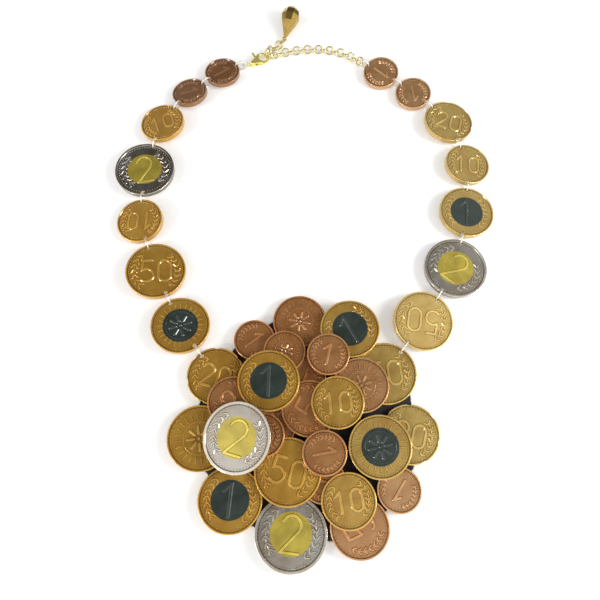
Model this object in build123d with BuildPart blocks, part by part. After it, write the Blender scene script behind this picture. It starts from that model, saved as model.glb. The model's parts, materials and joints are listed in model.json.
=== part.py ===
"""Coin necklace: two chains of drilled coins on jump rings, a bib of coins glued in a pile
on a felt backing, a lobster clasp with a sprung lever, an extender chain and a drop.
It lies flat: Z is up, the clasp is at +Y, and all sizes are in millimetres."""

import math
import os
from collections import namedtuple

from build123d import *

# Coins
small_copper_diameter = 16.25
middle_copper_diameter = 18.75
large_copper_diameter = 21.25
small_gold_diameter = 19.75
notched_gold_diameter = 22.25
large_gold_diameter = 24.25
small_two_tone_diameter = 23.25
large_two_tone_diameter = 25.75
coin_thickness = 2.2
narrow_rim = 0.8
broad_rim = 1.2
rim_height = 0.3
rim_rounding = 0.2
relief_height = 0.22
relief_root = 0.1
rim_slope = 0.25
bead_radius = 0.34
bead_pitch = 1.15
bead_row_inset = 0.55
single_numeral_share = 1.06
double_numeral_share = 0.82
sprig_share = 0.77
leaf_share = 0.2
notch_radius = 2.6
notch_depth = 0.4
notch_count = 7

# Jump rings between the chain's coins
ring_radius = 2.6
ring_wire = 0.6
coin_gap = 2.4
coin_hole_diameter = 1.5
hole_play = 0.04

# Felt backing of the bib
felt_width = 86.0
felt_length = 86.0
felt_thickness = 1.5
glue_line = 0.08
floor_gap = 0.05
steepest_lean = 10.0
steepest_top_lean = 16.0

# Lobster clasp
clasp_length = 7.2
clasp_level = 1.9
clasp_thickness = 2.0
clasp_rounding = 0.35
hook_hole_radius = 2.05
hook_bar = 1.1
hook_thickness = 1.2
neck_back = 5.6
neck_radius = 0.95
eye_radius = 0.85
eye_wire = 0.55
gate_thickness = 0.8
gate_width = 1.0
gate_reach = 4.0
gate_opening = 25
gate_clearance = 0.12
gate_back = 0.35
gate_inset = 0.15
gate_tip_angle = -40
gate_gap_angle = -122
gate_root_angle = -152
pivot_back = 2.9
pivot_aside = 1.3
pin_radius = 0.25
pin_length = 1.8
pin_clearance = 0.1
lever_root_radius = 0.85
lever_pocket_radius = 2.0
nub_reach = 6.1
nub_width = 0.8
nub_radius = 0.5
clasp_ring_radius = 1.5

# Rings on the hook, extender chain and the free end that carries the drop
hook_ring_radius = 2.1
link_radius = 1.75
link_wire = 0.7
link_slack = 0.12
standing_ring_slack = 0.4
drop_length = 16.0
drop_radius = 4.6
drop_sides = 8
drop_eye_radius = 0.85
drop_eye_wire = 0.6
eye_depth_in_nose = 0.08

# Ridges of the relief: width of the flat top, and how far each side slopes out
Ridge = namedtuple("Ridge", "width slope")
STROKE = Ridge(0.7, 0.3)
STEM = Ridge(0.2, 0.15)
LEAF = Ridge(0.35, 0.25)
RAY = Ridge(0.25, 0.2)
PETAL = Ridge(0.6, 0.35)

Kind = namedtuple("Kind", "diameter rim numeral notched")
KINDS = {
    "small_copper": Kind(small_copper_diameter, narrow_rim, "1", False),
    "middle_copper": Kind(middle_copper_diameter, narrow_rim, "2", False),
    "large_copper": Kind(large_copper_diameter, narrow_rim, "5", False),
    "small_gold": Kind(small_gold_diameter, narrow_rim, "10", False),
    "notched_gold": Kind(notched_gold_diameter, narrow_rim, "20", True),
    "large_gold": Kind(large_gold_diameter, narrow_rim, "50", False),
    "small_two_tone": Kind(small_two_tone_diameter, narrow_rim, "1", False),
    "large_two_tone": Kind(large_two_tone_diameter, broad_rim, "2", False),
}

# The bib's coins in the order in which they are glued, the lowest first. Across and along
# are shares of half the felt's width and length from the middle of the felt, turn is the
# direction of the numeral's base line in degrees, and side is the face that looks up.
BibCoin = namedtuple("BibCoin", "kind across along turn side")
BIB_COINS = [
    BibCoin("middle_copper", -0.28, 0.03, 40, "number"),
    BibCoin("small_copper", 0.00, 0.45, 160, "number"),
    BibCoin("small_copper", 0.17, -0.44, 75, "number"),
    BibCoin("notched_gold", -0.80, 0.43, -12, "number"),
    BibCoin("large_gold", -0.90, -0.115, 10, "ornament"),
    BibCoin("small_copper", -0.47, 0.77, -50, "number"),
    BibCoin("large_copper", -0.06, 0.96, -10, "ornament"),
    BibCoin("large_gold", 0.72, 0.49, 8, "number"),
    BibCoin("notched_gold", 0.92, -0.04, -14, "number"),
    BibCoin("small_copper", 0.81, -0.50, 148, "number"),
    BibCoin("large_copper", 0.475, -0.80, 120, "number"),
    BibCoin("large_two_tone", -0.09, -0.86, -6, "number"),
    BibCoin("small_two_tone", -0.605, -0.61, -4, "number"),
    BibCoin("small_copper", -0.19, 0.66, 25, "ornament"),
    BibCoin("small_two_tone", 0.40, 0.885, 30, "number"),
    BibCoin("middle_copper", -0.63, 0.20, 55, "number"),
    BibCoin("large_copper", 0.495, 0.37, -25, "ornament"),
    BibCoin("large_copper", 0.045, 0.155, 65, "number"),
    BibCoin("large_gold", -0.13, -0.375, -14, "number"),
    BibCoin("small_gold", 0.38, -0.595, 10, "number"),
    BibCoin("small_two_tone", 0.65, -0.155, 15, "ornament"),
    BibCoin("small_copper", 0.20, 0.63, -12, "number"),
    BibCoin("small_gold", 0.285, 0.205, 6, "number"),
    BibCoin("small_two_tone", -0.32, 0.38, 0, "number"),
    BibCoin("small_copper", -0.355, -0.085, 0, "number"),
    BibCoin("small_copper", 0.175, -0.22, -78, "number"),
    BibCoin("large_two_tone", -0.555, -0.115, -14, "number"),
]
LEFT_ANCHOR = 3
RIGHT_ANCHOR = 7

# The felt's cut outline, as shares of half its width and length from its middle
FeltCorner = namedtuple("FeltCorner", "across along")
FELT_OUTLINE = [
    FeltCorner(-0.665, 0.70),
    FeltCorner(-0.30, 0.985),
    FeltCorner(0.01, 1.00),
    FeltCorner(0.60, 0.88),
    FeltCorner(0.95, 0.33),
    FeltCorner(1.00, -0.07),
    FeltCorner(0.955, -0.32),
    FeltCorner(0.71, -0.67),
    FeltCorner(0.25, -0.915),
    FeltCorner(-0.09, -0.915),
    FeltCorner(-0.435, -0.81),
    FeltCorner(-0.84, -0.395),
    FeltCorner(-1.00, -0.10),
    FeltCorner(-0.94, 0.195),
]
felt_middle_x = 2.7
felt_middle_y = -51.4

# The two chains from the bib up to the clasp. Heading is the direction in degrees from the
# coin before to this one, roll is how far the coin rolls about the line of its two holes,
# from -1, its inner edge down on the table, to 1, its outer edge down.
ChainCoin = namedtuple("ChainCoin", "kind heading roll turn side")
LEFT_CHAIN = [
    ChainCoin("small_two_tone", 128, -0.5, 20, "ornament"),
    ChainCoin("large_gold", 118, -0.6, 6, "number"),
    ChainCoin("small_gold", 112, 0.7, 180, "number"),
    ChainCoin("large_two_tone", 92, 0.0, 12, "number"),
    ChainCoin("small_gold", 78, 0.8, 22, "number"),
    ChainCoin("small_copper", 58, 0.9, -75, "number"),
    ChainCoin("small_copper", 40, 0.4, -55, "number"),
]
RIGHT_CHAIN = [
    ChainCoin("large_gold", 54, 0.8, 172, "number"),
    ChainCoin("large_two_tone", 58, 0.1, -38, "number"),
    ChainCoin("small_two_tone", 76, 0.35, -3, "number"),
    ChainCoin("small_gold", 85, 0.6, -5, "number"),
    ChainCoin("notched_gold", 107, 0.75, -15, "number"),
    ChainCoin("small_copper", 135, -0.5, 190, "number"),
    ChainCoin("small_copper", 142, -0.6, 230, "number"),
]
left_end_heading = 33
right_end_heading = 147

# The way from the left chain's last hole to the right chain's last hole, as shares of the
# straight distance between them: along it, and aside from it away from the bib.
RoutePoint = namedtuple("RoutePoint", "along aside")
CLOSING_ROUTE = [
    RoutePoint(0.0, 0.0),
    RoutePoint(0.10, 0.03),
    RoutePoint(0.21, 0.095),
    RoutePoint(0.33, 0.135),
    RoutePoint(0.42, 0.16),
    RoutePoint(0.54, 0.18),
    RoutePoint(0.67, 0.178),
    RoutePoint(0.83, 0.135),
    RoutePoint(0.93, 0.06),
    RoutePoint(1.0, 0.0),
]

# Where the hook's two rings sit, in degrees from the clasp's own length
chain_ring_side = -7
drop_ring_side = 26

# Directions along the free end in degrees: from its ring to the first link, from link to
# link, and from the last link to the drop's eye
DROP_CHAIN_HEADINGS = [46, 44, 46, 54, 60]
drop_heading = 77

# The drop's outline: shares of its length from the nose and of its radius
DropSection = namedtuple("DropSection", "along radius")
DROP_PROFILE = [
    DropSection(0.0, 0.15),
    DropSection(0.22, 0.42),
    DropSection(0.48, 0.79),
    DropSection(0.70, 1.0),
    DropSection(0.86, 0.86),
    DropSection(0.96, 0.56),
    DropSection(1.0, 0.30),
]

# Sizes that follow from the ones above
ring_level = ring_radius + ring_wire / 2 + floor_gap
hole_reach = ring_radius - hole_play
hole_inset = hole_reach - coin_gap / 2
link_level = link_radius * math.sqrt(0.5) + link_wire / 2 + floor_gap
hook_radius = hook_hole_radius + hook_bar / 2
UP = Vector(0, 0, 1)
STANDING = (Align.CENTER, Align.CENTER, Align.MIN)
HANGING = (Align.CENTER, Align.CENTER, Align.MAX)


def heading_vector(degrees):
    """Unit vector on the table plane."""
    return Vector(math.cos(math.radians(degrees)), math.sin(math.radians(degrees)), 0)


def ring_plane(centre, direction, roll):
    """Plane of a ring whose own X runs along direction. Roll 0 lies flat, 90 stands up."""
    direction = direction.normalized()
    left = UP.cross(direction).normalized()
    raised = direction.cross(left)
    second = left * math.cos(math.radians(roll)) + raised * math.sin(math.radians(roll))
    return Plane(origin=centre, x_dir=direction, z_dir=direction.cross(second))


# Relief of the coins: ridges with sloping sides, drawn on the coin's own field


def ridge_section(ridge):
    """Half of a ridge's section, from its middle outwards, and its foot in the coin."""
    top = ridge.width / 2
    foot = top + ridge.slope
    return [(0, relief_height), (top, relief_height), (foot, 0), (foot, -relief_root), (0, -relief_root)]


def whole_section(ridge):
    """Section of a ridge, both halves."""
    half = ridge_section(ridge)
    return half + [(-across, up) for across, up in reversed(half[1:-1])]


def round_end(ridge, point):
    """End of a ridge, turned about its upright axis."""
    with BuildSketch(Plane(origin=(*point, 0), x_dir=(1, 0, 0), z_dir=(0, -1, 0))) as section:
        Polygon(*ridge_section(ridge), align=None)
    revolve(section.sketch, axis=Axis((*point, 0), (0, 0, 1)))


def straight_ridge(ridge, start, end):
    """Ridge with round ends between two points."""
    direction = Vector(*end) - Vector(*start)
    with BuildSketch(Plane(origin=(*start, 0), x_dir=UP.cross(direction), z_dir=direction)) as section:
        Polygon(*whole_section(ridge), align=None)
    extrude(section.sketch, amount=direction.length)
    round_end(ridge, start)
    round_end(ridge, end)


def curved_ridge(ridge, centre, radius, start_angle, arc_size, round_ends=True):
    """Ridge along an arc."""
    outwards = heading_vector(start_angle)
    start = Vector(*centre) + outwards * radius
    end = Vector(*centre) + heading_vector(start_angle + arc_size) * radius
    with BuildSketch(Plane(origin=start, x_dir=outwards, z_dir=outwards.cross(UP))) as section:
        Polygon(*whole_section(ridge), align=None)
    revolve(section.sketch, axis=Axis((*centre, 0), (0, 0, 1)), revolution_arc=arc_size)
    if round_ends:
        round_end(ridge, (start.X, start.Y))
        round_end(ridge, (end.X, end.Y))


def short_ridge(ridge, length):
    """Ridge of its own, with its length along X about the origin."""
    half = length / 2 - ridge.width / 2 - ridge.slope
    with BuildPart() as piece:
        straight_ridge(ridge, (-half, 0), (half, 0))
    return piece.part


def raise_digit(digit, x, height):
    """One plain numeral centred on (x, 0)."""
    half = height / 2
    if digit == "0":
        turn = 0.27 * height
        for side in (-1, 1):
            straight_ridge(STROKE, (x + side * turn, turn - half), (x + side * turn, half - turn))
        curved_ridge(STROKE, (x, half - turn), turn, 0, 180, round_ends=False)
        curved_ridge(STROKE, (x, turn - half), turn, 180, 180, round_ends=False)
    elif digit == "1":
        straight_ridge(STROKE, (x, -half), (x, half))
        straight_ridge(STROKE, (x, half), (x - 0.22 * height, 0.26 * height))
    elif digit == "2":
        turn = 0.26 * height
        curved_ridge(STROKE, (x, half - turn), turn, -38, 200)
        straight_ridge(STROKE, (x + 0.205 * height, 0.08 * height), (x - turn, -half))
        straight_ridge(STROKE, (x - turn, -half), (x + turn, -half))
    elif digit == "5":
        straight_ridge(STROKE, (x - 0.17 * height, half), (x + 0.22 * height, half))
        straight_ridge(STROKE, (x - 0.17 * height, half), (x - 0.21 * height, 0.06 * height))
        curved_ridge(STROKE, (x - 0.01 * height, -0.2 * height), 0.3 * height, -140, 270)


def make_numeral(numeral, field_radius):
    """Numeral of one or two digits, its ground at height 0."""
    digits = len(numeral)
    height = field_radius * (single_numeral_share if digits == 1 else double_numeral_share)
    with BuildPart() as relief:
        for index, digit in enumerate(numeral):
            raise_digit(digit, (index - (digits - 1) / 2) * 0.78 * height, height)
    return relief.part


def make_beads(field_radius):
    """Row of small beads with sloping sides just inside the rim, their ground at height 0."""
    row_radius = field_radius - bead_row_inset
    count = int(2 * math.pi * row_radius / bead_pitch)
    with BuildPart() as beads:
        with PolarLocations(row_radius, count):
            Cone(bead_radius, 0.5 * bead_radius, relief_height, align=STANDING)
            Cylinder(bead_radius, relief_root, align=HANGING)
    return beads.part


def make_sprigs(field_radius):
    """Two leafy sprigs beside the numeral, their ground at height 0."""
    sprig_radius = sprig_share * field_radius
    length = leaf_share * field_radius
    leaf = short_ridge(LEAF, length)
    leaf_span = 92
    with BuildPart() as sprigs:
        for middle in (0, 180):
            curved_ridge(STEM, (0, 0), sprig_radius, middle - 52, 104)
            with PolarLocations(sprig_radius, 7, middle - leaf_span / 2, leaf_span, endpoint=True):
                with Locations(Location((0.33 * length, 0, 0), (0, 0, 55))):
                    add(leaf)
                with Locations(Location((-0.33 * length, 0, 0), (0, 0, 125))):
                    add(leaf)
    return sprigs.part


def make_rosette(field_radius):
    """Eight petals in a ring of short rays, their ground at height 0."""
    petal = short_ridge(PETAL, 0.33 * field_radius)
    ray = short_ridge(RAY, 0.24 * field_radius)
    with BuildPart() as rosette:
        curved_ridge(STEM, (0, 0), 0.53 * field_radius, 0, 360, round_ends=False)
        round_end(PETAL, (0, 0))
        with PolarLocations(0.28 * field_radius, 8):
            add(petal)
        with PolarLocations(0.72 * field_radius, 24):
            add(ray)
    return rosette.part


def make_coin(kind):
    """Coin about its own middle, number side up, before any hole is drilled."""
    radius = kind.diameter / 2
    field_radius = radius - kind.rim
    field_level = coin_thickness / 2 - rim_height
    numeral = make_numeral(kind.numeral, field_radius)
    sprigs = make_sprigs(field_radius)
    rosette = make_rosette(field_radius)
    beads = make_beads(field_radius)
    number_face = Plane.XY.offset(field_level)
    ornament_face = Plane(origin=(0, 0, -field_level), x_dir=(1, 0, 0), z_dir=(0, 0, -1))
    with BuildPart() as coin:
        with BuildSketch():
            Circle(radius)
            if kind.notched:
                with PolarLocations(radius + notch_radius - notch_depth, notch_count):
                    Circle(notch_radius, mode=Mode.SUBTRACT)
        extrude(amount=coin_thickness / 2, both=True)
        outer_edges = coin.edges().filter_by(GeomType.CIRCLE).group_by(Axis.Z)
        fillet(outer_edges[0] + outer_edges[-1], rim_rounding)
        with Locations(number_face, ornament_face):
            Cone(field_radius, field_radius + rim_slope, rim_height, align=STANDING, mode=Mode.SUBTRACT)
        with Locations(number_face):
            add(numeral)
            add(sprigs)
        with Locations(ornament_face):
            add(rosette)
        with Locations(number_face, ornament_face):
            add(beads)
    return coin.part


def coin_plane(centre, normal, turn, side):
    """Plane that carries a coin whose named side looks along normal."""
    facing = normal if side == "number" else normal * -1
    base_line = heading_vector(turn)
    across = (base_line - normal * base_line.dot(normal)).normalized()
    return Plane(origin=centre, x_dir=across, z_dir=facing)


def place_coin(name, master, plane, holes):
    """Drilled copy of a coin at its place."""
    with BuildPart() as piece:
        with Locations(plane):
            add(master)
        for hole in holes:
            drill = Plane(origin=hole, x_dir=plane.x_dir, z_dir=plane.z_dir)
            with Locations(drill):
                Cylinder(coin_hole_diameter / 2, 2 * coin_thickness, mode=Mode.SUBTRACT)
    piece.part.label = name
    return piece.part


# The pile of the bib


def felt_points():
    """Corners of the felt on the table."""
    return [
        (felt_middle_x + c.across * felt_width / 2, felt_middle_y + c.along * felt_length / 2)
        for c in FELT_OUTLINE
    ]


def on_felt(x, y, corners):
    """Whether a point lies over the felt."""
    inside = False
    for (x1, y1), (x2, y2) in zip(corners, corners[1:] + corners[:1]):
        if (y1 > y) != (y2 > y) and x < (x2 - x1) * (y - y1) / (y2 - y1) + x1:
            inside = not inside
    return inside


RestingCoin = namedtuple("RestingCoin", "x y radius top slope_x slope_y")


def support_points(x, y, radius, below, corners, samples=60):
    """Points under a coin's outline that it could rest on, as (dx, dy, height)."""
    points = []
    for step in range(samples):
        angle = 2 * math.pi * step / samples
        dx = radius * math.cos(angle)
        dy = radius * math.sin(angle)
        height = felt_thickness if on_felt(x + dx, y + dy, corners) else floor_gap
        for coin in below:
            from_x = x + dx - coin.x
            from_y = y + dy - coin.y
            if math.hypot(from_x, from_y) <= coin.radius:
                height = max(height, coin.top + coin.slope_x * from_x + coin.slope_y * from_y)
        points.append((dx, dy, height))
        for coin in below:
            rim_x = coin.radius * math.cos(angle)
            rim_y = coin.radius * math.sin(angle)
            dx_rim = coin.x + rim_x - x
            dy_rim = coin.y + rim_y - y
            if math.hypot(dx_rim, dy_rim) <= radius:
                height = coin.top + coin.slope_x * rim_x + coin.slope_y * rim_y
                points.append((dx_rim, dy_rim, height))
    return points


def settle(points, steepest):
    """Lowest height of a coin's middle over its supports, with the lean that gives it."""

    def level(slope_x, slope_y):
        return max(z - slope_x * dx - slope_y * dy for dx, dy, z in points)

    slope_x = slope_y = 0.0
    lowest = level(0, 0)
    step = 0.2
    limit = math.tan(math.radians(steepest))
    while step > 0.0005:
        trials = []
        for turn in range(12):
            try_x = slope_x + step * math.cos(turn * math.pi / 6)
            try_y = slope_y + step * math.sin(turn * math.pi / 6)
            if math.hypot(try_x, try_y) <= limit:
                trials.append((level(try_x, try_y), try_x, try_y))
        best = min(trials, default=(lowest, slope_x, slope_y))
        if best[0] < lowest - 1e-6:
            lowest, slope_x, slope_y = best
        else:
            step /= 2
    return lowest, slope_x, slope_y


def stack_bib():
    """Centre and normal of each coin of the bib, and its row."""
    corners = felt_points()
    below = []
    places = []
    for number, row in enumerate(BIB_COINS, start=1):
        x = felt_middle_x + row.across * felt_width / 2
        y = felt_middle_y + row.along * felt_length / 2
        radius = KINDS[row.kind].diameter / 2
        steepest = steepest_top_lean if number == len(BIB_COINS) else steepest_lean
        points = support_points(x, y, radius, below, corners)
        height, slope_x, slope_y = settle(points, steepest)
        normal = Vector(-slope_x, -slope_y, 1).normalized()
        bottom = Vector(x, y, height + glue_line)
        centre = bottom + normal * (coin_thickness / 2)
        top = height + glue_line + coin_thickness / normal.Z
        below.append(RestingCoin(x, y, radius, top, slope_x, slope_y))
        places.append((centre, normal, row))
    return places


# The chains of coins


def hole_place(centre, normal, radius, heading):
    """Middle of a hole near the edge of a coin, towards a heading."""
    outward = heading_vector(heading)
    in_face = (outward - normal * outward.dot(normal)).normalized()
    return centre + in_face * (radius - hole_inset)


def lay_chain(anchor, rows, end_heading, outer_side):
    """Places of a chain's coins from the anchor coin upwards. Outer side is 1 where the
    outer edge lies to the left of the chain's heading, and -1 where it lies to the right."""
    centre, normal, row = anchor
    radius = KINDS[row.kind].diameter / 2
    point = Vector(centre.X, centre.Y, 0)
    places = []
    joints = [(centre, normal, radius)]
    for index, row in enumerate(rows):
        radius_before = radius
        radius = KINDS[row.kind].diameter / 2
        point += heading_vector(row.heading) * (radius_before + radius + coin_gap)
        next_heading = rows[index + 1].heading if index + 1 < len(rows) else end_heading
        side = heading_vector((row.heading + next_heading) / 2 + 90 * outer_side)
        most = math.asin((ring_level - coin_thickness / 2 - 2 * floor_gap) / radius)
        roll = row.roll * most
        normal = side * math.sin(roll) + UP * math.cos(roll)
        middle = Vector(point.X, point.Y, ring_level)
        places.append((middle, normal, row))
        joints.append((middle, normal, radius))
    return places, joints


def drill_chain(joints, rows, end_heading):
    """Hole places of each coin of a chain, the anchor first, and the rings' planes."""
    holes = [[] for joint in joints]
    rings = []
    for index, row in enumerate(rows):
        centre, normal, radius = joints[index]
        lower = hole_place(centre, normal, radius, row.heading)
        centre, normal, radius = joints[index + 1]
        upper = hole_place(centre, normal, radius, row.heading + 180)
        holes[index].append(lower)
        holes[index + 1].append(upper)
        middle = (lower + upper) * 0.5
        level = max(middle.Z, ring_level)
        rings.append(ring_plane(Vector(middle.X, middle.Y, level), heading_vector(row.heading), 90))
    centre, normal, radius = joints[-1]
    holes[-1].append(hole_place(centre, normal, radius, end_heading))
    return holes, rings


# The closing stretch from the left chain's end to the right chain's end


def closing_curve(start, end):
    """Flat curve from one end hole to the other."""
    base = Vector(end.X - start.X, end.Y - start.Y, 0)
    aside = UP.cross(base)
    points = [
        Vector(start.X, start.Y, 0) + base * p.along + aside * p.aside for p in CLOSING_ROUTE
    ]
    return Spline(*points)


def point_at(curve, share, level):
    """Point of the curve at a share of its length, raised to a level."""
    flat = curve @ share
    return Vector(flat.X, flat.Y, level)


def next_share(curve, start, share, distance, level):
    """Share of the curve where a point at that level is so far from start, by halving."""
    low = share
    high = share + 1.5 * distance / curve.length
    while high - low > 1e-6:
        middle = (low + high) / 2
        if (point_at(curve, middle, level) - start).length < distance:
            low = middle
        else:
            high = middle
    return (low + high) / 2


def taut_reach(radius, wire, next_radius, next_wire):
    """Distance between the centres of two interlocked rings that are nearly taut."""
    return radius + next_radius - (wire + next_wire) / 2 - link_slack


def lifted_level(steps_from_ring, standing_level):
    """Height of a link's centre, which the standing ring at its chain's end lifts a little."""
    lift = {0: 0.5, 1: 0.15}.get(steps_from_ring, 0)
    return link_level + lift * (standing_level - link_level)


def step_along(curve, start, end, reaches):
    """Centres at given straight distances from each other along a curve."""
    share = 0
    centre = start
    centres = []
    for index, reach in enumerate(reaches):
        from_start = lifted_level(index, start.Z)
        from_end = lifted_level(len(reaches) - 1 - index, end.Z)
        level = max(from_start, from_end)
        share = next_share(curve, centre, share, reach, level)
        centre = point_at(curve, share, level)
        centres.append(centre)
    return centres


def lay_links(curve, start, end, first_reach, last_reach):
    """Centres of the fewest links that join two rings, with the same slack in each joint."""
    pitch = taut_reach(link_radius, link_wire, link_radius, link_wire)
    count = 1
    while first_reach + (count - 1) * pitch + last_reach < curve.length:
        count += 1
    reaches = [first_reach] + [pitch] * (count - 1)
    loose = 0.7
    taut = 1.0
    while taut - loose > 1e-5:
        share = (loose + taut) / 2
        centres = step_along(curve, start, end, [share * reach for reach in reaches])
        if (end - centres[-1]).length > share * last_reach:
            loose = share
        else:
            taut = share
    return centres


def link_planes(centres, before, after):
    """Planes of a chain's links, rolled in turn to either side of its direction."""
    ends = [before] + centres + [after]
    planes = []
    for index, centre in enumerate(centres):
        direction = ends[index + 2] - ends[index]
        roll = 45 if index % 2 == 0 else 135
        planes.append(ring_plane(centre, direction, roll))
    return planes


places = stack_bib()
left_places, left_joints = lay_chain(places[LEFT_ANCHOR], LEFT_CHAIN, left_end_heading, 1)
right_places, right_joints = lay_chain(places[RIGHT_ANCHOR], RIGHT_CHAIN, right_end_heading, -1)
left_holes, left_ring_planes = drill_chain(left_joints, LEFT_CHAIN, left_end_heading)
right_holes, right_ring_planes = drill_chain(right_joints, RIGHT_CHAIN, right_end_heading)

# Rings that close both chains of coins
left_end = left_holes[-1][-1]
right_end = right_holes[-1][-1]
route = closing_curve(left_end, right_end)
left_ring_share = next_share(route, left_end, 0, hole_reach, ring_level)
left_ring_centre = point_at(route, left_ring_share, ring_level)
left_ring_planes.append(ring_plane(left_ring_centre, route % left_ring_share, 90))
right_ring_share = 1 - hole_reach / route.length
right_ring_centre = point_at(route, right_ring_share, ring_level)
right_ring_planes.append(ring_plane(right_ring_centre, route % right_ring_share, 90))

# Clasp: its eye is one small ring away from the left chain's last ring
ring_to_ring = taut_reach(ring_radius, ring_wire, clasp_ring_radius, ring_wire) - link_slack
ring_to_eye = taut_reach(clasp_ring_radius, ring_wire, eye_radius, eye_wire) - link_slack / 2
eye_reach = ring_to_ring + ring_to_eye
eye_share = next_share(route, left_ring_centre, left_ring_share, eye_reach, clasp_level)
eye_centre = point_at(route, eye_share, clasp_level)
towards_eye = (eye_centre - left_ring_centre).normalized()
clasp_ring_centre = eye_centre - towards_eye * ring_to_eye
clasp_ring_planes = [ring_plane(clasp_ring_centre, towards_eye, 0)]
hook_share = next_share(route, eye_centre, eye_share, clasp_length, clasp_level)
hook_centre = point_at(route, hook_share, clasp_level)
clasp_direction = (hook_centre - eye_centre).normalized()
clasp_heading = math.degrees(math.atan2(clasp_direction.Y, clasp_direction.X))
clasp_plane = Plane(origin=hook_centre, x_dir=clasp_direction, z_dir=UP)

# The two rings on the hook stand up, one for each chain
hook_ring_level = hook_ring_radius + ring_wire / 2 + floor_gap
hook_ring_rise = hook_ring_level - clasp_level
room_in_ring = hook_ring_radius - (ring_wire + hook_thickness) / 2 - link_slack
hook_ring_out = hook_radius + math.sqrt(room_in_ring**2 - hook_ring_rise**2)
chain_ring_heading = clasp_heading + chain_ring_side
drop_ring_heading = clasp_heading + drop_ring_side
hook_ring_centre = Vector(hook_centre.X, hook_centre.Y, hook_ring_level)
chain_ring_centre = hook_ring_centre + heading_vector(chain_ring_heading) * hook_ring_out
drop_ring_centre = hook_ring_centre + heading_vector(drop_ring_heading) * hook_ring_out

# Extender chain from the hook's first ring to the right chain's last ring
chain_way = [(chain_ring_centre.X, chain_ring_centre.Y)]
chain_shares = [hook_share + (right_ring_share - hook_share) * step / 5 for step in range(2, 6)]
for share in chain_shares:
    passed = route @ share
    chain_way.append((passed.X, passed.Y))
chain_curve = Spline(*chain_way)
hook_ring_reach = (
    taut_reach(hook_ring_radius, ring_wire, link_radius, link_wire) - standing_ring_slack
)
link_centres = lay_links(
    chain_curve,
    chain_ring_centre,
    right_ring_centre,
    hook_ring_reach,
    taut_reach(link_radius, link_wire, ring_radius, ring_wire) - standing_ring_slack,
)
extender_planes = link_planes(link_centres, chain_ring_centre, right_ring_centre)

# Free end from the hook's second ring to the drop
drop_link_centres = []
centre = drop_ring_centre
reach = hook_ring_reach
for index, heading in enumerate(DROP_CHAIN_HEADINGS[:-1]):
    level = lifted_level(index, hook_ring_level)
    flat_reach = math.sqrt(reach**2 - (centre.Z - level) ** 2)
    centre = Vector(centre.X, centre.Y, level) + heading_vector(heading) * flat_reach
    drop_link_centres.append(centre)
    reach = taut_reach(link_radius, link_wire, link_radius, link_wire)
reach = taut_reach(link_radius, link_wire, drop_eye_radius, drop_eye_wire)
drop_eye_centre = centre + heading_vector(DROP_CHAIN_HEADINGS[-1]) * reach
drop_link_planes = link_planes(drop_link_centres, drop_ring_centre, drop_eye_centre)
drop_eye_plane = ring_plane(drop_eye_centre, heading_vector(DROP_CHAIN_HEADINGS[-1]), 45)

# Each of the hook's rings turns towards the first link that it holds
hook_ring_planes = []
for ring_centre, link_centre in (
    (chain_ring_centre, link_centres[0]),
    (drop_ring_centre, drop_link_centres[0]),
):
    pull = link_centre - hook_centre
    hook_ring_planes.append(ring_plane(ring_centre, Vector(pull.X, pull.Y, 0), 90))

# The drop leans so that its lowest facet just rests on the table
flat_share = math.cos(math.pi / drop_sides)
nose_reach = drop_eye_radius - eye_depth_in_nose
drop_lean = -math.pi
for section in DROP_PROFILE:
    along = nose_reach + section.along * drop_length
    below = section.radius * drop_radius * flat_share
    clear = (link_level - floor_gap) / math.hypot(along, below)
    drop_lean = max(drop_lean, math.atan2(below, along) - math.asin(min(clear, 1)))
drop_axis = heading_vector(drop_heading) * math.cos(drop_lean) + UP * math.sin(drop_lean)
drop_plane = Plane(
    origin=drop_eye_centre, x_dir=heading_vector(drop_heading - 90), z_dir=drop_axis
)


# Pieces

pieces = {}

with BuildPart() as felt_backing:
    with BuildSketch():
        Polygon(*felt_points(), align=None)
    extrude(amount=felt_thickness)
pieces["felt_backing"] = felt_backing.part

masters = {name: make_coin(kind) for name, kind in KINDS.items()}

bib_holes = {LEFT_ANCHOR: left_holes[0], RIGHT_ANCHOR: right_holes[0]}
for index, (centre, normal, row) in enumerate(places):
    name = f"bib_coin_{index + 1:02d}"
    plane = coin_plane(centre, normal, row.turn, row.side)
    pieces[name] = place_coin(name, masters[row.kind], plane, bib_holes.get(index, []))

for side_name, chain_places, holes in (
    ("left", left_places, left_holes),
    ("right", right_places, right_holes),
):
    for index, (centre, normal, row) in enumerate(chain_places):
        name = f"{side_name}_coin_{index + 1}"
        plane = coin_plane(centre, normal, row.turn, row.side)
        pieces[name] = place_coin(name, masters[row.kind], plane, holes[index + 1])


def make_rings(name, planes, radius, wire):
    """Round-wire rings, one at each plane."""
    with BuildPart() as rings:
        with Locations(*planes):
            Torus(radius, wire / 2)
    rings.part.label = name
    return rings.part


for name, planes, radius, wire in (
    ("left_rings", left_ring_planes, ring_radius, ring_wire),
    ("right_rings", right_ring_planes, ring_radius, ring_wire),
    ("clasp_ring", clasp_ring_planes, clasp_ring_radius, ring_wire),
    ("hook_rings", hook_ring_planes, hook_ring_radius, ring_wire),
    ("extender_chain", extender_planes, link_radius, link_wire),
    ("drop_chain", drop_link_planes, link_radius, link_wire),
):
    pieces[name] = make_rings(name, planes, radius, wire)

# Clasp: the hook opens on the side away from the nub
outer_radius = hook_hole_radius + hook_bar
pivot = (-pivot_back, -pivot_aside)
far = 3 * outer_radius


def sector(first_angle, last_angle):
    """Corners of a wedge from the hook's centre, for angles in degrees."""
    middle_angle = (first_angle + last_angle) / 2
    corners = [(0, 0)]
    for angle in (first_angle, middle_angle, last_angle):
        corner = heading_vector(angle) * far
        corners.append((corner.X, corner.Y))
    return corners


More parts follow.
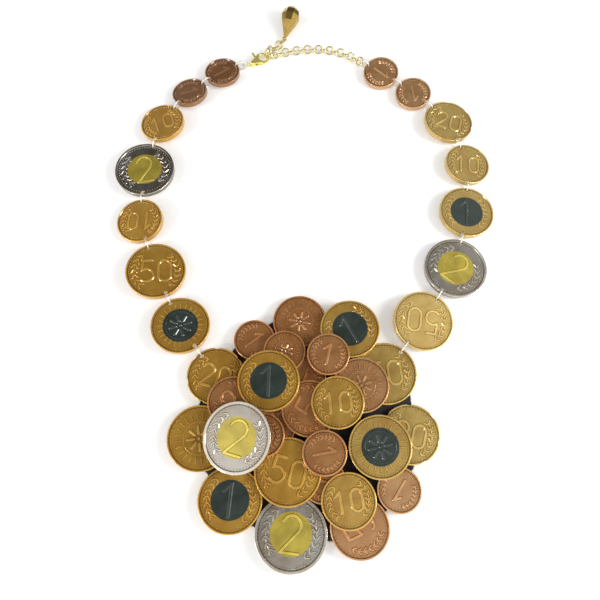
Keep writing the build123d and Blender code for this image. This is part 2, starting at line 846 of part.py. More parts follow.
shoulder_front = -0.45 * hook_hole_radius
with BuildPart() as clasp_body:
    with BuildSketch(clasp_plane):
        Circle(outer_radius)
        with Locations((-neck_back, 0)):
            Circle(neck_radius)
        make_hull()
    extrude(amount=clasp_thickness / 2, both=True)
    outline = clasp_body.edges().filter_by(clasp_plane).group_by(Axis.Z)
    fillet(outline[0] + outline[-1], clasp_rounding)
    with BuildSketch(clasp_plane):
        Circle(hook_hole_radius)
        with Locations((shoulder_front + far / 2, 0)):
            Rectangle(far, far)
    extrude(amount=clasp_thickness, both=True, mode=Mode.SUBTRACT)
    with BuildSketch(Plane(origin=hook_centre, x_dir=clasp_direction, z_dir=-clasp_plane.y_dir)):
        with Locations((hook_radius, 0)):
            Ellipse(hook_bar / 2, hook_thickness / 2)
    revolve(axis=Axis(hook_centre, UP))
    with BuildSketch(clasp_plane):
        with Locations(pivot):
            Circle(gate_reach + gate_clearance)
        Polygon(*sector(gate_gap_angle, gate_tip_angle), align=None, mode=Mode.INTERSECT)
    extrude(amount=clasp_thickness, both=True, mode=Mode.SUBTRACT)
    with BuildSketch(clasp_plane):
        with Locations(pivot):
            Circle(lever_pocket_radius)
            slot_side = nub_width / 2 + gate_clearance
            opened = heading_vector(90 + gate_opening)
            opened_side = heading_vector(180 + gate_opening) * slot_side
            opened_end = opened * nub_reach + opened_side
            Polygon(
                (slot_side, 0),
                (slot_side, nub_reach),
                (opened_end.X, opened_end.Y),
                (opened_side.X, opened_side.Y),
                align=None,
            )
    extrude(amount=gate_thickness / 2 + gate_clearance, both=True, mode=Mode.SUBTRACT)
    with BuildSketch(clasp_plane):
        with Locations(pivot):
            Circle(pin_radius)
    extrude(amount=pin_length / 2, both=True)
    eye_plane = Plane(origin=eye_centre, x_dir=clasp_direction, z_dir=clasp_plane.y_dir)
    with Locations(eye_plane):
        Torus(eye_radius, eye_wire / 2)
clasp_body.part.label = "clasp_body"
pieces["clasp_body"] = clasp_body.part

with BuildPart() as clasp_lever:
    with BuildSketch(clasp_plane):
        with Locations((-gate_back, gate_inset)):
            Circle(hook_hole_radius + gate_width)
        Circle(hook_hole_radius, mode=Mode.SUBTRACT)
        Polygon(*sector(gate_root_angle, gate_tip_angle), align=None, mode=Mode.INTERSECT)
        with Locations(pivot):
            Circle(gate_reach, mode=Mode.INTERSECT)
            Circle(lever_root_radius)
            with Locations((0, nub_reach / 2)):
                Rectangle(nub_width, nub_reach)
            with Locations((0, nub_reach)):
                Circle(nub_radius)
            Circle(pin_radius + pin_clearance, mode=Mode.SUBTRACT)
    extrude(amount=gate_thickness / 2, both=True)
clasp_lever.part.label = "clasp_lever"
pieces["clasp_lever"] = clasp_lever.part

# Drop: a faceted tear with an eye at its nose
with BuildPart() as drop:
    for section in DROP_PROFILE:
        with BuildSketch(drop_plane.offset(nose_reach + section.along * drop_length)):
            RegularPolygon(section.radius * drop_radius, drop_sides, rotation=180 / drop_sides)
    loft(ruled=True)
    with Locations(drop_eye_plane):
        Torus(drop_eye_radius, drop_eye_wire / 2)
drop.part.label = "drop"
pieces["drop"] = drop.part

# The frame's origin is under the middle of the whole necklace, on the table
boxes = [piece.bounding_box() for piece in pieces.values()]
west = min(box.min.X for box in boxes)
east = max(box.max.X for box in boxes)
south = min(box.min.Y for box in boxes)
north = max(box.max.Y for box in boxes)
bottom = min(box.min.Z for box in boxes)
to_origin = Location((-(west + east) / 2, -(south + north) / 2, -bottom))
os.makedirs("parts", exist_ok=True)
for name, piece in pieces.items():
    placed = piece.moved(to_origin)
    placed.label = name
    export_step(placed, f"parts/{name}.step", write_pcurves=False)
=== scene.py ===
"""Looks of the coin necklace: materials, felt, floor, light and camera. Lengths are in metres."""
import json
import math
import random
from collections import namedtuple

import bmesh
import bpy
import numpy as np
from mathutils import Matrix, Vector
from mathutils.geometry import delaunay_2d_cdt
from mathutils.noise import fractal


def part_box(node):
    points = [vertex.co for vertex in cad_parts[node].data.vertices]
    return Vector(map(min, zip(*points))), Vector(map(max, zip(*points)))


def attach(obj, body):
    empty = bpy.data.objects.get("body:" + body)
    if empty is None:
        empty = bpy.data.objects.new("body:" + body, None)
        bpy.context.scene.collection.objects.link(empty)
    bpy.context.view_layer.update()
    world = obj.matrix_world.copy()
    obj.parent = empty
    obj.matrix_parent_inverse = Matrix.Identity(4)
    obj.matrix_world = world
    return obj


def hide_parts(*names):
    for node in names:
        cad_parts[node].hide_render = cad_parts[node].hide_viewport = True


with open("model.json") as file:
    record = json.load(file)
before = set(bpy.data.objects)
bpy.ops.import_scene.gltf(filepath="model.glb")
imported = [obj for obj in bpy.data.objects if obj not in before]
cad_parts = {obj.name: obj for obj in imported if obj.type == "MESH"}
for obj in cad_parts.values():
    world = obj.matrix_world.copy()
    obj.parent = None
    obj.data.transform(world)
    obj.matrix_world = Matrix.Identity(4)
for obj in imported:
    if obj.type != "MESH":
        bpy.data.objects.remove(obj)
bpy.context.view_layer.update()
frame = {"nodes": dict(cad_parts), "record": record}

MM = 0.001
UP = Vector((0, 0, 1))

# Camera: its place is taken from the middle of the felt, and its height from the table
PHOTO_WIDTH = 600
FOCAL_PIXELS = 551
SENSOR_WIDTH = 36
CAMERA_FROM_FELT = Vector((-2.7, -25.1)) * MM
CAMERA_HEIGHT = 213.3 * MM
CAMERA_TILT = 19.3
CAMERA_ROLL = 1.4
CAMERA_NEAR = 0.01
CAMERA_FAR = 20

# Coins: levels above a coin's middle, and widths in from its rim
FIELD_LEVEL = 0.80 * MM
RELIEF_TOP = 1.02 * MM
EDGE_HEIGHT = 0.85 * MM
EDGE_INSET = 0.12 * MM
NARROW_RIM = 0.8 * MM
BROAD_RIM = 1.2 * MM
GROOVE_WIDTH = 0.35 * MM
GROOVE_CORE = 0.3 * GROOVE_WIDTH

# Bands of the relief: where its foot begins above the field, how far below the top the painted
# highlight (partly rubbed wear) is full, and where the foot ends and that highlight begins as
# shares of the relief's height
FOOT_BEGIN = 0.004 * MM
FOOT_FULL = 0.02 * MM
TOP_FULL = 0.005 * MM
FOOT_END_SHARE = 0.5
TOP_BEGIN_SHARE = 0.75

# Cores of the two-tone coins: radius as a share of the coin's, and how their edge runs
SMALL_CORE_SHARE = 0.6
LARGE_CORE_SHARE = 0.58
CORE_WANDER = 0.12 * MM
CORE_BLUR = 0.05 * MM

# Painted light and shade on a coin's paint: the field's painted shade, the painted highlight
# (partly rubbed wear) that a relief top gains, and the painted shade that darkens the foot of the
# relief and the groove inside the rim
FIELD_SHADE = 0.88
TOP_HIGHLIGHT_AND_RUB = 0.5
LEAST_TOP_HIGHLIGHT_AND_RUB = 0.6 * TOP_HIGHLIGHT_AND_RUB
FOOT_SHADE = 0.75
GROOVE_SHADE = 0.5
DULL_TINT = (0.94, 0.87, 0.8)
FRESH_TINT = (1.05, 1.08, 1.12)
DULL_CORE = 0.85
FRESH_CORE = 1.15
SMOOTHER = 0.04
ROUGHER = 0.05
COAT_WEIGHT = 1.0
COAT_ROUGHNESS = 0.1
COIN_BUMP = 0.5
COIN_BUMP_DEPTH = 0.08 * MM
SPECKLE_BUMP = 0.12
GRAIN_BUMP = 0.3

# Paints: towards the right the gold and copper coins are paler, a painted reflection of the
# brighter surroundings there
COPPER = (0.62, 0.275, 0.090)
PALE_COPPER = (0.66, 0.37, 0.160)
GOLD = (0.74, 0.405, 0.060)
PALE_GOLD = (0.69, 0.475, 0.130)
PALE_START = 5 * MM
PALE_END = 40 * MM
SILVER = (0.68, 0.62, 0.52)
SLATE = (0.040, 0.055, 0.046)
BRIGHT_GOLD = (0.74, 0.57, 0.085)

# The two coins next to the clasp are darker: painted shade for the dim surroundings they reflect
COINS_IN_PAINTED_SHADE = {"left_coin_6": 0.58, "left_coin_7": 0.58}

# Noises that break up the surfaces, and the parts of their range that are used
Noise = namedtuple("Noise", "scale detail roughness")
TONE_RANGE = (0.32, 0.68)
GLOSS_RANGE = (0.25, 0.75)
TOP_HIGHLIGHT_AND_RUB_RANGE = (0.35, 0.6)
METAL_TONE_RANGE = (0.35, 0.7)
METAL_GLOSS_RANGE = (0.3, 0.7)
FELT_TONE_RANGE = (0.3, 0.7)
CLOUDS = Noise(150.0, 4.0, 0.6)
SPECKLES = Noise(2600.0, 2.0, 0.7)
SWELL = Noise(240.0, 2.0, 0.5)
GRAIN = Noise(900.0, 3.0, 0.5)
CORE_EDGE = Noise(420.0, 2.0, 0.5)
METAL_WEAR = Noise(900.0, 4.0, 0.6)
SCRATCHES = Noise(2500.0, 3.0, 0.5)
POLISH_MARKS = Noise(400.0, 3.0, 0.5)
FELT_MOTTLE = Noise(900.0, 5.0, 0.7)
FELT_HAIR = Noise(4200.0, 3.0, 0.8)

# Metal pieces: what wear does to their colour and roughness, and the depth of their marks
WORN_METAL_SHADE = 0.8
WORN_METAL_ROUGHER = 0.1
MARK_DEPTH = 0.02 * MM
SCRATCH_STRENGTH = 0.15
POLISH_STRENGTH = 0.01

# Felt: pitch of the points along its edge, how far in millimetres the cut strays inwards, and
# the edge's section as insets in millimetres and shares of the thickness
FELT_STEP = 0.8 * MM
FELT_TRIM = 0.3
FELT_WANDER = 0.25
FELT_EDGE = [(0.35, 0.015), (0.08, 0.2), (0.0, 0.5), (0.08, 0.82), (0.35, 0.985)]
FELT_GRID = 1.6 * MM
FELT_UNEVENNESS = 0.03
WANDER_SCALE = 180
WANDER_ROUGHNESS = 0.8
UNEVENNESS_SCALE = 400
UNEVENNESS_ROUGHNESS = 0.9
FELT_DARK = (0.006, 0.006, 0.007)
FELT_LIGHT = (0.018, 0.018, 0.02)
FELT_ROUGHNESS = 0.95
FELT_SHEEN = 0.25
FELT_SHEEN_ROUGHNESS = 0.6
FELT_BUMP = 0.8
FELT_BUMP_DEPTH = 0.12 * MM

# Loose fibres, in millimetres, with their heights as shares of the felt's thickness: ranges of
# height and length, and how widely their directions and bends spread
FIBRE_COUNT = 3200
FIBRE_SEED = 7
FIBRE_HEIGHTS = (0.12, 0.95)
FIBRE_LENGTHS = (0.25, 0.85)
FIBRE_DEPTH = 0.1
FIBRE_TURN = 0.9
FIBRE_RISE = (0.05, 0.35)
FIBRE_BEND = 0.12
FIBRE_BEND_UP = 0.4
FIBRE_HALF_WIDTH = 0.018
FIBRE_KNEE = 0.55
FIBRE_FLOOR = 0.03

# Floor: white paper on a light table
FLOOR_SIZE = 6
FLOOR_LEVEL = -0.2 * MM
FLOOR_COLOUR = (0.9, 0.9, 0.89)
FLOOR_ROUGHNESS = 0.9
FLOOR_GLOW = 0.25

# Surroundings: a white tent, brighter towards the front, with a dim oval opening overhead
TENT_DARK = 0.06
TENT_FRONT = 1.0
TENT_BACK = 0.3
TENT_WALLS = (-0.2, 0.65)
OPENING_MIDDLE = (-0.12, 0.32)
OPENING_SIZE = (0.40, 0.48)
OPENING_EDGE = (0.7, 1.3)

Softbox = namedtuple("Softbox", "name place aim size power")
SOFTBOXES = [
    Softbox("window_right", (0.34, -0.06, 0.26), (0.03, 0, 0), 0.14, 0.95),
    Softbox("window_left", (-0.7, -0.5, 0.5), (0, 0, 0), 0.2, 2.4),
]


class NodeTree:
    """Nodes of a material or a world, made and linked with one call each."""

    def __init__(self, owner):
        owner.use_nodes = True
        self.nodes = owner.node_tree.nodes
        self.links = owner.node_tree.links

    def new(self, kind):
        """New shader node of a kind."""
        return self.nodes.new("ShaderNode" + kind)

    def feed(self, socket, value):
        """Links another node's output to a socket, or sets a number or a colour on it."""
        if isinstance(value, bpy.types.NodeSocket):
            self.links.new(value, socket)
        elif isinstance(value, tuple):
            socket.default_value = (*value, 1)
        else:
            socket.default_value = value

    def maths(self, operation, *values):
        """Result of an operation on sockets or numbers."""
        node = self.new("Math")
        node.operation = operation
        for socket, value in zip(node.inputs, values):
            self.feed(socket, value)
        return node.outputs["Value"]

    def add(self, first, second):
        return self.maths("ADD", first, second)

    def subtract(self, first, second):
        return self.maths("SUBTRACT", first, second)

    def multiply(self, first, second):
        return self.maths("MULTIPLY", first, second)

    def map_range(self, source, low, high, to_low=0.0, to_high=1.0, smooth=True):
        """Source value carried from one range to another."""
        node = self.new("MapRange")
        node.interpolation_type = "SMOOTHSTEP" if smooth else "LINEAR"
        self.feed(node.inputs["Value"], source)
        self.feed(node.inputs["From Min"], low)
        self.feed(node.inputs["From Max"], high)
        self.feed(node.inputs["To Min"], to_low)
        self.feed(node.inputs["To Max"], to_high)
        return node.outputs["Result"]

    def noise(self, vector, settings):
        """Noise value over a vector."""
        node = self.new("TexNoise")
        self.feed(node.inputs["Scale"], settings.scale)
        self.feed(node.inputs["Detail"], settings.detail)
        self.feed(node.inputs["Roughness"], settings.roughness)
        self.feed(node.inputs["Vector"], vector)
        return node.outputs["Fac"]

    def mix(self, factor, first, second):
        """Colour part of the way from one colour to another."""
        node = self.new("Mix")
        node.data_type = "RGBA"
        factor_socket = node.inputs["Factor"]
        first_colour, second_colour = (socket for socket in node.inputs if socket.type == "RGBA")
        self.feed(factor_socket, factor)
        self.feed(first_colour, first)
        self.feed(second_colour, second)
        return next(socket for socket in node.outputs if socket.type == "RGBA")

    def scaled(self, colour, share):
        """Colour times a share."""
        node = self.new("VectorMath")
        node.operation = "SCALE"
        self.feed(node.inputs["Vector"], colour)
        self.feed(node.inputs["Scale"], share)
        return node.outputs["Vector"]

    def bump(self, height, strength, depth):
        """Normal of a surface with small ups and downs."""
        node = self.new("Bump")
        self.feed(node.inputs["Strength"], strength)
        self.feed(node.inputs["Distance"], depth)
        self.feed(node.inputs["Height"], height)
        return node.outputs["Normal"]

    def object_point(self):
        """Place on the surface in the object's own space."""
        return self.new("TexCoord").outputs["Object"]


def new_material(name):
    """Material that holds only a Principled shader: itself, its tree and the shader's inputs."""
    material = bpy.data.materials.new(name)
    tree = NodeTree(material)
    tree.nodes.clear()
    shader = tree.new("BsdfPrincipled")
    output = tree.new("OutputMaterial")
    tree.feed(output.inputs["Surface"], shader.outputs["BSDF"])
    return material, tree, shader.inputs


def dress(obj, material):
    """Puts one material on all of a CAD node."""
    for slot in obj.material_slots:
        slot.material = material
    if not obj.material_slots:
        obj.data.materials.append(material)


def darker(colour, share):
    """Colour times a share."""
    return tuple(channel * share for channel in colour)


def tinted(colour, tint):
    """Colour times another, channel by channel."""
    return tuple(channel * share for channel, share in zip(colour, tint))


def between(first, second, share):
    """Colour part of the way from one to another."""
    return tuple(a + (b - a) * share for a, b in zip(first, second))


# Coins


def coin_pose(obj):
    """Centre, normal and radius of a coin: most of its mesh looks along its normal."""
    mesh = obj.data
    points = np.zeros(3 * len(mesh.vertices))
    normals = np.zeros(3 * len(mesh.polygons))
    areas = np.zeros(len(mesh.polygons))
    mesh.vertices.foreach_get("co", points)
    mesh.polygons.foreach_get("normal", normals)
    mesh.polygons.foreach_get("area", areas)
    points = points.reshape(-1, 3)
    normals = normals.reshape(-1, 3)
    axes = np.linalg.eigh((normals * areas[:, None]).T @ normals)[1]
    if axes[2, 2] < 0:
        axes[:, 2] *= -1
    local = points @ axes
    middle = (local.min(axis=0) + local.max(axis=0)) / 2
    radius = np.linalg.norm((local - middle)[:, :2], axis=1).max()
    return Vector(axes @ middle), Vector(axes[:, 2]), float(radius)


def coin_space(tree, centre, normal):
    """Point in the coin's own space, origin at its middle and Z along its normal, and its axes."""
    turn = tree.new("Mapping")
    turn.vector_type = "TEXTURE"
    turn.inputs["Location"].default_value = centre
    turn.inputs["Rotation"].default_value = normal.to_track_quat("Z", "Y").to_euler()
    tree.feed(turn.inputs["Vector"], tree.object_point())
    parts = tree.new("SeparateXYZ")
    tree.feed(parts.inputs["Vector"], turn.outputs["Vector"])
    return turn.outputs["Vector"], parts.outputs


def core_mask(tree, point, reach, core_radius):
    """One inside a two-tone coin's core and zero outside, with an edge that wanders a little."""
    uneven = tree.noise(point, CORE_EDGE)
    wander = tree.map_range(uneven, 0.0, 1.0, -CORE_WANDER, CORE_WANDER, smooth=False)
    edge = tree.add(reach, wander)
    return tree.map_range(edge, core_radius - CORE_BLUR, core_radius + CORE_BLUR, 1.0, 0.0)


def relief_shade(tree, height, speckle):
    """Painted light and shade by height: painted shade at the foot of the relief and a painted
    highlight on its tops.
    """
    relief = RELIEF_TOP - FIELD_LEVEL
    foot_end = FIELD_LEVEL + FOOT_END_SHARE * relief
    top_begin = FIELD_LEVEL + TOP_BEGIN_SHARE * relief
    above = tree.map_range(height, FIELD_LEVEL + FOOT_BEGIN, FIELD_LEVEL + FOOT_FULL)
    low = tree.map_range(height, foot_end, top_begin, 1.0, 0.0)
    foot = tree.multiply(above, low)
    top = tree.map_range(height, top_begin, RELIEF_TOP - TOP_FULL)
    # Painted highlight on the relief's tops, partly rubbed wear, its strength varying from speck
    # to speck
    worn = tree.map_range(speckle, *TOP_HIGHLIGHT_AND_RUB_RANGE, LEAST_TOP_HIGHLIGHT_AND_RUB, TOP_HIGHLIGHT_AND_RUB)
    lit = tree.add(FIELD_SHADE, tree.multiply(top, worn))
    return tree.multiply(lit, tree.subtract(1.0, tree.multiply(foot, FOOT_SHADE)))


def rim_shade(tree, height, reach, radius, rim, edge_shade):
    """Painted shade by distance from the middle: dark in the groove inside the rim and down the
    side.
    """
    off_groove = tree.maths("ABSOLUTE", tree.subtract(reach, radius - rim))
    groove = tree.map_range(off_groove, GROOVE_CORE, GROOVE_WIDTH, 1.0 - GROOVE_SHADE, 1.0)
    outer = tree.map_range(reach, radius - 2 * EDGE_INSET, radius - EDGE_INSET)
    side = tree.map_range(height, EDGE_HEIGHT, EDGE_HEIGHT + EDGE_INSET, 1.0, 0.0)
    darkened = tree.multiply(tree.multiply(outer, side), 1.0 - edge_shade)
    return tree.multiply(groove, tree.subtract(1.0, darkened))


def coin_material(name, place, colour, pale, metal, rough, rim=NARROW_RIM, edge_shade=1.0,
                  core=None, core_metal=0.0, core_share=0.0):
    """Metallic paint on moulded plastic, with a painted highlight on the relief's tops (partly
    rubbed wear) and painted shade at its foot.
    """
    centre, normal, radius = place
    material, tree, shader = new_material(name)
    point, axes = coin_space(tree, centre, normal)
    height = tree.maths("ABSOLUTE", axes["Z"])
    squares = tree.add(tree.maths("POWER", axes["X"], 2.0), tree.maths("POWER", axes["Y"], 2.0))
    reach = tree.maths("SQRT", squares)

    cloud = tree.noise(point, CLOUDS)
    speckle = tree.noise(point, SPECKLES)
    tone = tree.map_range(cloud, *TONE_RANGE)
    # Paler towards the right: a painted reflection of the brighter surroundings on that side
    right_glare_share = min(1.0, max(0.0, (centre.x - PALE_START) / (PALE_END - PALE_START)))
    colour = between(colour, pale, right_glare_share)
    paint = tree.mix(tone, tinted(colour, DULL_TINT), tinted(colour, FRESH_TINT))
    shader["Metallic"].default_value = metal
    if core is not None:
        inside = core_mask(tree, point, reach, core_share * radius)
        core_paint = tree.mix(tone, darker(core, DULL_CORE), darker(core, FRESH_CORE))
        paint = tree.mix(inside, paint, core_paint)
        tree.feed(shader["Metallic"], tree.map_range(inside, 0.0, 1.0, metal, core_metal))
    # Painted light and shade: highlight on the relief's tops, shade at its foot, in the groove and
    # down the side
    shade = tree.multiply(relief_shade(tree, height, speckle),
                          rim_shade(tree, height, reach, radius, rim, edge_shade))
    tree.feed(shader["Base Color"], tree.scaled(paint, shade))

    gloss = tree.map_range(cloud, *GLOSS_RANGE, rough - SMOOTHER, rough + ROUGHER)
    tree.feed(shader["Roughness"], gloss)
    shader["Coat Weight"].default_value = COAT_WEIGHT
    shader["Coat Roughness"].default_value = COAT_ROUGHNESS
    fine = tree.add(tree.multiply(speckle, SPECKLE_BUMP),
                    tree.multiply(tree.noise(point, GRAIN), GRAIN_BUMP))
    ground = tree.add(fine, tree.noise(point, SWELL))
    tree.feed(shader["Normal"], tree.bump(ground, COIN_BUMP, COIN_BUMP_DEPTH))
    return material


GOLD_PAINT = dict(colour=GOLD, pale=PALE_GOLD, metal=0.6, rough=0.24)
KIND_OF_SLOT = {
    "copper_plastic": dict(colour=COPPER, pale=PALE_COPPER, metal=0.6, rough=0.26),
    "gold_plastic": GOLD_PAINT,
    "gold_ring_plastic": dict(GOLD_PAINT, core=SLATE, core_metal=0.2, core_share=SMALL_CORE_SHARE),
    "grey_ring_plastic": dict(
        # edge_shade: painted shade down the side of the silver coins
        colour=SILVER, pale=SILVER, metal=1.0, rough=0.26, rim=BROAD_RIM, edge_shade=0.35,
        core=BRIGHT_GOLD, core_metal=0.6, core_share=LARGE_CORE_SHARE,
    ),
}
slot_of_node = {row["node"]: row["material_slot"] for row in frame["record"]["subparts"]}
for node, slot in slot_of_node.items():
    if slot in KIND_OF_SLOT:
        obj = frame["nodes"][node]
        kind = dict(KIND_OF_SLOT[slot])
        # Painted shade: the paint of the listed coins is darkened for the dim surroundings they
        # reflect
        kind["colour"] = darker(kind["colour"], COINS_IN_PAINTED_SHADE.get(node, 1.0))
        dress(obj, coin_material(f"{slot}_{node}", coin_pose(obj), **kind))


# Metal pieces


def metal_material(name, colour, rough, metal, marks=SCRATCHES, mark_strength=SCRATCH_STRENGTH):
    """Plated metal with faint wear and fine marks."""
    material, tree, shader = new_material(name)
    place = tree.object_point()
    wear = tree.noise(place, METAL_WEAR)
    worn = tree.map_range(wear, *METAL_TONE_RANGE)
    tree.feed(shader["Base Color"], tree.mix(worn, colour, darker(colour, WORN_METAL_SHADE)))
    shader["Metallic"].default_value = metal
    gloss = tree.map_range(wear, *METAL_GLOSS_RANGE, rough, rough + WORN_METAL_ROUGHER)
    tree.feed(shader["Roughness"], gloss)
    tree.feed(shader["Normal"], tree.bump(tree.noise(place, marks), mark_strength, MARK_DEPTH))
    return material


METAL_OF_NODES = {
    ("clasp_body", "clasp_lever"): metal_material("gold_metal", (0.97, 0.83, 0.24), 0.12, 0.62),
    ("hook_rings", "extender_chain", "drop_chain"):
        metal_material("chain_metal", (0.76, 0.65, 0.30), 0.14, 0.95),
    ("left_rings", "right_rings", "clasp_ring"):
        metal_material("jump_ring_metal", (0.98, 0.94, 0.80), 0.24, 0.7),
    ("drop",):
        metal_material("drop_metal", (0.58, 0.40, 0.11), 0.02, 1.0, POLISH_MARKS, POLISH_STRENGTH),
}
for nodes, material in METAL_OF_NODES.items():
    for node in nodes:
        dress(frame["nodes"][node], material)


# Felt


def felt_material():
    """Black pressed felt with a soft sheen."""
    material, tree, shader = new_material("black_felt")
    place = tree.object_point()
    mottle = tree.noise(place, FELT_MOTTLE)
    hair = tree.noise(place, FELT_HAIR)
    tone = tree.map_range(mottle, *FELT_TONE_RANGE)
    tree.feed(shader["Base Color"], tree.mix(tone, FELT_DARK, FELT_LIGHT))
    shader["Roughness"].default_value = FELT_ROUGHNESS
    shader["Sheen Weight"].default_value = FELT_SHEEN
    shader["Sheen Roughness"].default_value = FELT_SHEEN_ROUGHNESS
    tree.feed(shader["Normal"], tree.bump(tree.add(hair, mottle), FELT_BUMP, FELT_BUMP_DEPTH))
    return material


def around(items):
    """Each item with the one after it, and the last with the first."""
    return zip(items, items[1:] + items[:1])


def ripple(place, scale, layer, roughness):
    """Smooth ups and downs over the plane, in a layer of their own."""
    return fractal((place.x * scale, place.y * scale, layer), roughness, 2.0, 3)


def flat_outline(obj):
    """Corners of a flat node's top, in order, as (x, y)."""
    mesh = bmesh.new()
    mesh.from_mesh(obj.data)
    bmesh.ops.remove_doubles(mesh, verts=mesh.verts, dist=0.001 * MM)
    following = {}
    for face in mesh.faces:
        if face.normal.z > 0.9:
            for loop in face.loops:
                if any(other.normal.z < 0.5 for other in loop.edge.link_faces):
                    following[loop.vert] = loop.link_loop_next.vert
    vert = next(iter(following))
    corners = []
    for _ in following:
        corners.append(Vector((vert.co.x, vert.co.y)))
        vert = following[vert]
    mesh.free()
    return corners


def cut_edge(corners, step):
    """Points and outward normals along an outline cut by hand: it wanders a little inwards."""
    points = []
    normals = []
    for start, end in around(corners):
        run = end - start
        count = max(2, round(run.length / step))
        outward = Vector((run.y, -run.x)).normalized()
        for index in range(count):
            place = start + run * (index / count)
            wander = ripple(place, WANDER_SCALE, 0, WANDER_ROUGHNESS)
            points.append(place - outward * (FELT_TRIM + FELT_WANDER * wander) * MM)
            normals.append(outward)
    count = len(points)
    smooth = [
        sum((normals[(i + k) % count] for k in (-2, -1, 0, 1, 2)), Vector((0, 0))).normalized()
        for i in range(count)
    ]
    return points, smooth


def inner_grid(rim, pitch):
    """Grid points inside an outline, clear of its edge."""
    west = min(p.x for p in rim)
    south = min(p.y for p in rim)
    across = int((max(p.x for p in rim) - west) / pitch)
    along = int((max(p.y for p in rim) - south) / pitch)
    grid = []
    for i in range(across + 1):
        for k in range(along + 1):
            place = Vector((west + i * pitch, south + (k + 0.5 * (i % 2)) * pitch))
            inside = False
            near = False
            for a, b in around(rim):
                if (a.y > place.y) != (b.y > place.y):
                    if place.x < (b.x - a.x) * (place.y - a.y) / (b.y - a.y) + a.x:
                        inside = not inside
                near = near or (a - place).length < 0.6 * pitch
            if inside and not near:
                grid.append(place)
    return grid


def felt_face(mesh, loop, up):
    """Top or underside of the felt inside a loop of its edge, not quite even."""
    rim = [Vector(vert.co[:2]) for vert in loop]
    outline = list(range(len(rim)))
    flat, _, faces, *_ = delaunay_2d_cdt(rim + inner_grid(rim, FELT_GRID), [], [outline], 1, 1e-7)
    made = []
    for place in flat:
        unevenness = ripple(place, UNEVENNESS_SCALE, up, UNEVENNESS_ROUGHNESS)
        unevenness = unevenness * FELT_UNEVENNESS * MM
        inwards = min(0, unevenness) if up > 0 else max(0, unevenness)
        made.append(mesh.verts.new((place.x, place.y, loop[0].co.z + inwards)))
    for face in faces:
        order = face if up > 0 else list(reversed(face))
        mesh.faces.new([made[i] for i in order])


def felt_sheet(points, normals, thickness):
    """Pressed felt with a rounded cut edge."""
    mesh = bmesh.new()
    loops = []
    for inset, share in FELT_EDGE:
        loops.append([
            mesh.verts.new((*(place - normal * inset * MM), share * thickness))
            for place, normal in zip(points, normals)
        ])
    for lower, upper in zip(loops, loops[1:]):
        for (low, low_next), (high, high_next) in zip(around(lower), around(upper)):
            mesh.faces.new((low, low_next, high_next, high))
    felt_face(mesh, loops[-1], 1)
    felt_face(mesh, loops[0], -1)
    bmesh.ops.remove_doubles(mesh, verts=mesh.verts, dist=0.05 * MM)
    bmesh.ops.recalc_face_normals(mesh, faces=mesh.faces)
    return mesh


def felt_fibres(points, normals, thickness):
    """Loose fibres that stand out of the cut edge: thin bent slivers."""
    chance = random.Random(FIBRE_SEED)
    mesh = bmesh.new()
    for _ in range(FIBRE_COUNT):
        index = chance.randrange(len(points))
        outward = Vector((*normals[index], 0))
        side = Vector((-outward.y, outward.x, 0))
        level = chance.uniform(*FIBRE_HEIGHTS) * thickness
        root = Vector((*points[index], level)) - outward * FIBRE_DEPTH * MM
        turn = side * chance.gauss(0, FIBRE_TURN)
        aim = (outward + turn + UP * chance.gauss(*FIBRE_RISE)).normalized()
        bend = Vector((chance.gauss(0, 1), chance.gauss(0, 1), chance.gauss(0, FIBRE_BEND_UP)))
        bend = bend * FIBRE_BEND * MM
        length = chance.uniform(*FIBRE_LENGTHS) * MM
        width = aim.cross(UP).normalized() * FIBRE_HALF_WIDTH * MM
        middle = root + aim * length * FIBRE_KNEE + bend * 0.5
        tip = root + aim * length + bend
        tip.z = max(tip.z, FIBRE_FLOOR * MM)
        corners = (root - width, root + width, middle + width, middle - width, tip)
        ring = [mesh.verts.new(corner) for corner in corners]
        mesh.faces.new(ring[:4])
        mesh.faces.new((ring[3], ring[2], ring[4]))
    return mesh


def felt_object(name, mesh, material):
    """New piece of the felt from a bmesh, on the necklace's body."""
    data = bpy.data.meshes.new(name)
    mesh.to_mesh(data)
    mesh.free()
    data.materials.append(material)
    piece = bpy.data.objects.new(name, data)
    bpy.context.scene.collection.objects.link(piece)
    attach(piece, "necklace")
    return piece


felt_look = felt_material()
felt_node = frame["nodes"]["felt_backing"]
dress(felt_node, felt_look)
felt_low, felt_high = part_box("felt_backing")
corners = flat_outline(felt_node)
edge_points, edge_normals = cut_edge(corners, FELT_STEP)
felt = felt_object("felt", felt_sheet(edge_points, edge_normals, felt_high.z), felt_look)
for face in felt.data.polygons:
    face.use_smooth = True
fibres = felt_object("felt_fibres", felt_fibres(edge_points, edge_normals, felt_high.z), felt_look)
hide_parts("felt_backing")
cut_area = abs(sum(a.x * b.y - b.x * a.y for a, b in around(corners))) / 2


# Floor, light and camera


def make_floor():
    """Plain paper that glows a little, as on a light table."""
    bpy.ops.mesh.primitive_plane_add(size=FLOOR_SIZE, location=(0, 0, FLOOR_LEVEL))
    floor = bpy.context.object
    floor.name = "floor"
    material, _, shader = new_material("floor_paper")
    shader["Base Color"].default_value = (*FLOOR_COLOUR, 1)
    shader["Roughness"].default_value = FLOOR_ROUGHNESS
    shader["Emission Color"].default_value = (1, 1, 1, 1)
    shader["Emission Strength"].default_value = FLOOR_GLOW
    floor.data.materials.append(material)


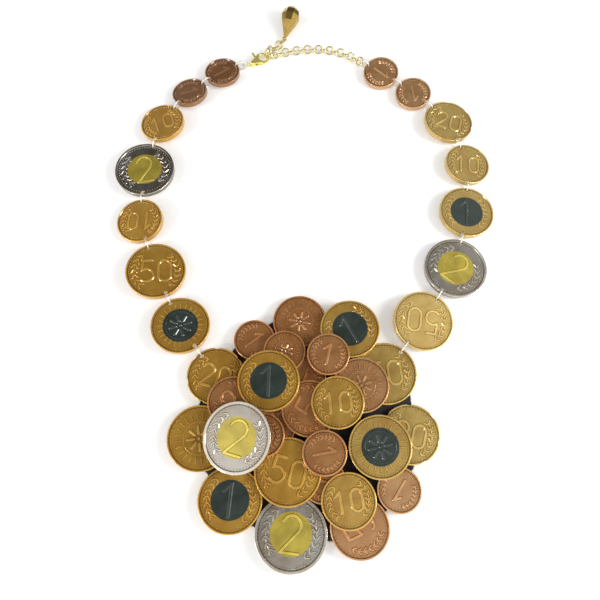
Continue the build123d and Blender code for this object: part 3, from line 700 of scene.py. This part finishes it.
def make_tent():
    """World that is dim in an oval overhead, and brighter in front than behind around it."""
    world = bpy.data.worlds.new("tent")
    tree = NodeTree(world)
    parts = tree.new("SeparateXYZ")
    tree.feed(parts.inputs["Vector"], tree.new("TexCoord").outputs["Generated"])
    squares = []
    for axis, middle, size in zip("XY", OPENING_MIDDLE, OPENING_SIZE):
        offset = tree.subtract(parts.outputs[axis], middle)
        squares.append(tree.maths("POWER", tree.maths("DIVIDE", offset, size), 2.0))
    away = tree.maths("SQRT", tree.add(*squares))
    walls = tree.map_range(parts.outputs["Y"], *TENT_WALLS, TENT_FRONT, TENT_BACK)
    opened = tree.map_range(away, *OPENING_EDGE)
    glow = tree.add(TENT_DARK, tree.multiply(opened, tree.subtract(walls, TENT_DARK)))
    background = tree.nodes["Background"].inputs
    tree.feed(background["Strength"], glow)
    background["Color"].default_value = (1, 1, 1, 1)
    bpy.context.scene.world = world


def make_softbox(box):
    """Square area light at a place, looking at a point."""
    data = bpy.data.lights.new(box.name, "AREA")
    data.shape = "SQUARE"
    data.size = box.size
    data.energy = box.power
    lamp = bpy.data.objects.new(box.name, data)
    lamp.location = box.place
    lamp.rotation_euler = (Vector(box.aim) - Vector(box.place)).to_track_quat("-Z", "Y").to_euler()
    bpy.context.collection.objects.link(lamp)


def make_camera(felt_middle):
    """Camera of the photograph: above the table, tilted and rolled a little."""
    data = bpy.data.cameras.new("camera")
    data.sensor_width = SENSOR_WIDTH
    data.lens = FOCAL_PIXELS / PHOTO_WIDTH * SENSOR_WIDTH
    data.clip_start = CAMERA_NEAR
    data.clip_end = CAMERA_FAR
    camera = bpy.data.objects.new("camera", data)
    place = Vector((*(felt_middle.xy + CAMERA_FROM_FELT), CAMERA_HEIGHT))
    tilt = Matrix.Rotation(math.radians(CAMERA_TILT), 4, "X")
    roll = Matrix.Rotation(math.radians(CAMERA_ROLL), 4, "Z")
    camera.matrix_world = Matrix.Translation(place) @ tilt @ roll
    bpy.context.collection.objects.link(camera)
    bpy.context.scene.camera = camera


make_floor()
make_tent()
for box in SOFTBOXES:
    make_softbox(box)
make_camera((felt_low + felt_high) / 2)
bpy.context.scene.view_settings.view_transform = "Standard"
